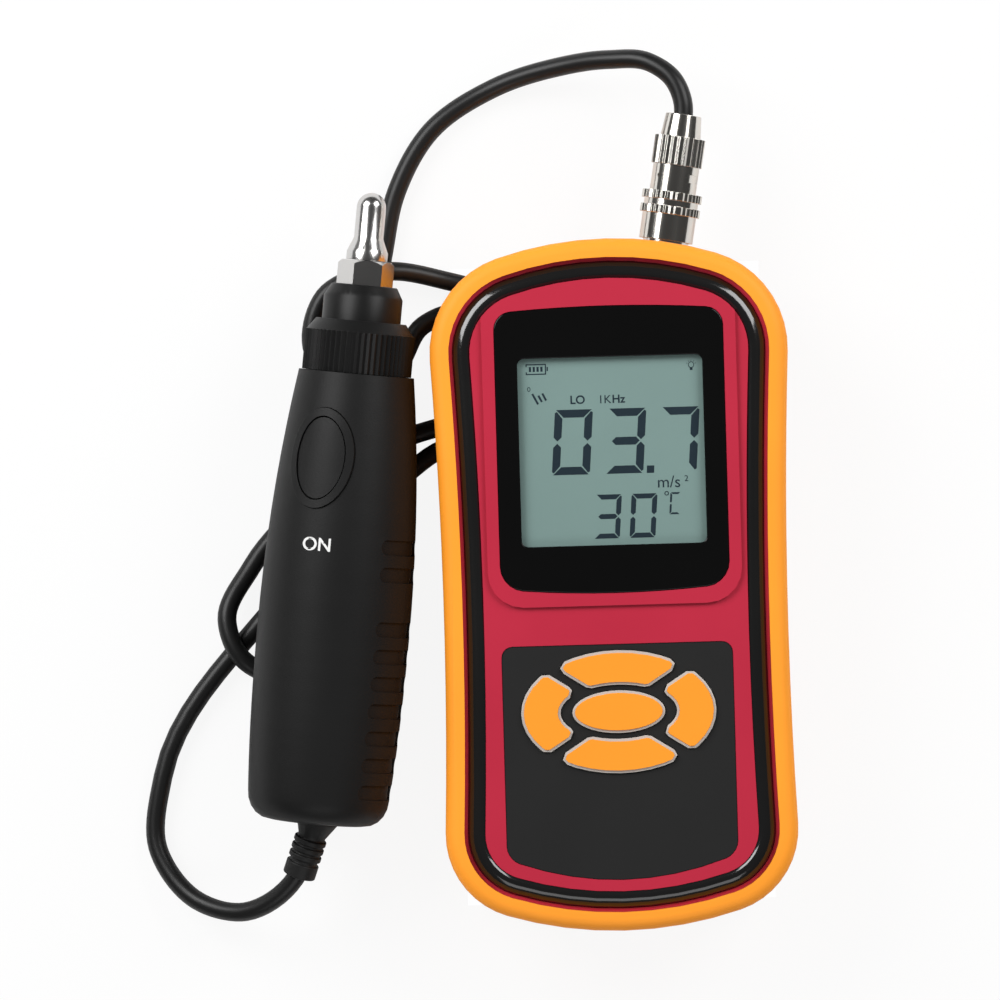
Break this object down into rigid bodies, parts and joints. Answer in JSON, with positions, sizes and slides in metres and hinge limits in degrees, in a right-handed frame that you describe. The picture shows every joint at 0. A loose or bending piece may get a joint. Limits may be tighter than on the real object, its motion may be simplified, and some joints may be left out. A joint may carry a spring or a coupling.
{
  "type": "vibration_meter",
  "caption": "Handheld vibration meter in an orange rubber boot, with a wired accelerometer probe on a coiled black lead",
  "frame": {"origin": "on the boot's back, in the middle of the outline's length and width", "axes": "+X to the meter's right seen from the front, +Y to the socket end, +Z out of the display face"},
  "size_m": [0.1469, 0.1973, 0.0391],
  "materials": {
    "boot_rubber": "satin moulded rubber, orange",
    "crimson_plastic": "semi-gloss moulded, crimson",
    "band_black": "gloss, black",
    "window_pane": "clear pane with a black printed border",
    "lcd_face": "grey-green liquid crystal display",
    "panel_charcoal": "matt, charcoal",
    "key_orange": "matt, orange with a pale outline",
    "nickel": "bright nickel plate",
    "steel": "turned and brushed stainless steel",
    "probe_black": "fine matt texture, black",
    "anodised_black": "satin black, turned and knurled",
    "cable_black": "matt black cable jacket",
    "insulator": "black insulating plastic",
    "inner_white": "white diffuser",
    "board_green": "green solder mask",
    "switch_metal": "tinned steel",
    "battery_case": "plain dark sleeve"
  },
  "bodies": {
    "meter": {"rubber_boot": "boot_rubber", "rear_shell": "crimson_plastic", "front_shell": "crimson_plastic", "trim_band": "band_black", "housing_screws": "steel", "battery": "battery_case", "battery_snap": "insulator", "main_board": "board_green", "display_window": "window_pane", "lcd_panel": "lcd_face", "lcd_frame": "insulator", "backlight": "inner_white", "keypad_panel": "panel_charcoal", "key_mat": "insulator", "key_switches": "switch_metal", "panel_socket": "nickel", "socket_insert": "insulator", "socket_nut": "nickel"},
    "door": {"battery_door": "crimson_plastic"},
    "up_key": {"key_top": "key_orange"},
    "down_key": {"key_bottom": "key_orange"},
    "left_key": {"key_left": "key_orange"},
    "right_key": {"key_right": "key_orange"},
    "middle_key": {"key_centre": "key_orange"},
    "lead": {"plug_body": "nickel", "plug_insert": "insulator", "clamp_nut": "nickel", "cable_cone": "nickel", "signal_cable": "cable_black", "strain_relief": "cable_black", "probe_front_half": "probe_black", "probe_rear_half": "probe_black", "probe_screws": "steel", "nose_collar": "anodised_black", "knurled_ring": "anodised_black", "sensor_base": "steel", "sensor_stack": "steel", "probe_board": "board_green", "probe_switch": "switch_metal", "button_ring": "probe_black"},
    "sleeve": {"release_sleeve": "nickel"},
    "tip": {"probe_tip": "steel"},
    "button": {"probe_button": "probe_black"}
  },
  "joints": [
    {"name": "door_swing", "type": "hinge", "parent": "meter", "child": "door", "pos_m": [0, -0.0672, 0.00155], "axis": [-1, 0, 0], "range_deg": [0, 75]},
    {"name": "up_key_press", "type": "slide", "parent": "meter", "child": "up_key", "axis": [0, 0, -1], "range_m": [0, 0.00035], "stiffness_N_per_m": 400},
    {"name": "down_key_press", "type": "slide", "parent": "meter", "child": "down_key", "axis": [0, 0, -1], "range_m": [0, 0.00035], "stiffness_N_per_m": 400},
    {"name": "left_key_press", "type": "slide", "parent": "meter", "child": "left_key", "axis": [0, 0, -1], "range_m": [0, 0.00035], "stiffness_N_per_m": 400},
    {"name": "right_key_press", "type": "slide", "parent": "meter", "child": "right_key", "axis": [0, 0, -1], "range_m": [0, 0.00035], "stiffness_N_per_m": 400},
    {"name": "middle_key_press", "type": "slide", "parent": "meter", "child": "middle_key", "axis": [0, 0, -1], "range_m": [0, 0.00035], "stiffness_N_per_m": 400},
    {"name": "plug_unplug", "type": "slide", "parent": "meter", "child": "lead", "axis": [0.1693, 0.9856, 0], "range_m": [0, 0.012]},
    {"name": "sleeve_release", "type": "slide", "parent": "lead", "child": "sleeve", "axis": [0.1693, 0.9856, 0], "range_m": [0, 0.0015], "stiffness_N_per_m": 300},
    {"name": "tip_unscrew", "type": "hinge", "parent": "lead", "child": "tip", "pos_m": [-0.0517, 0.0891, 0.024], "axis": [0.1177, 0.9928, 0.0227], "continuous": true},
    {"name": "button_press", "type": "slide", "parent": "lead", "child": "button", "axis": [0.4063, -0.0273, -0.9133], "range_m": [0, 0.0006], "stiffness_N_per_m": 400}
  ]
}
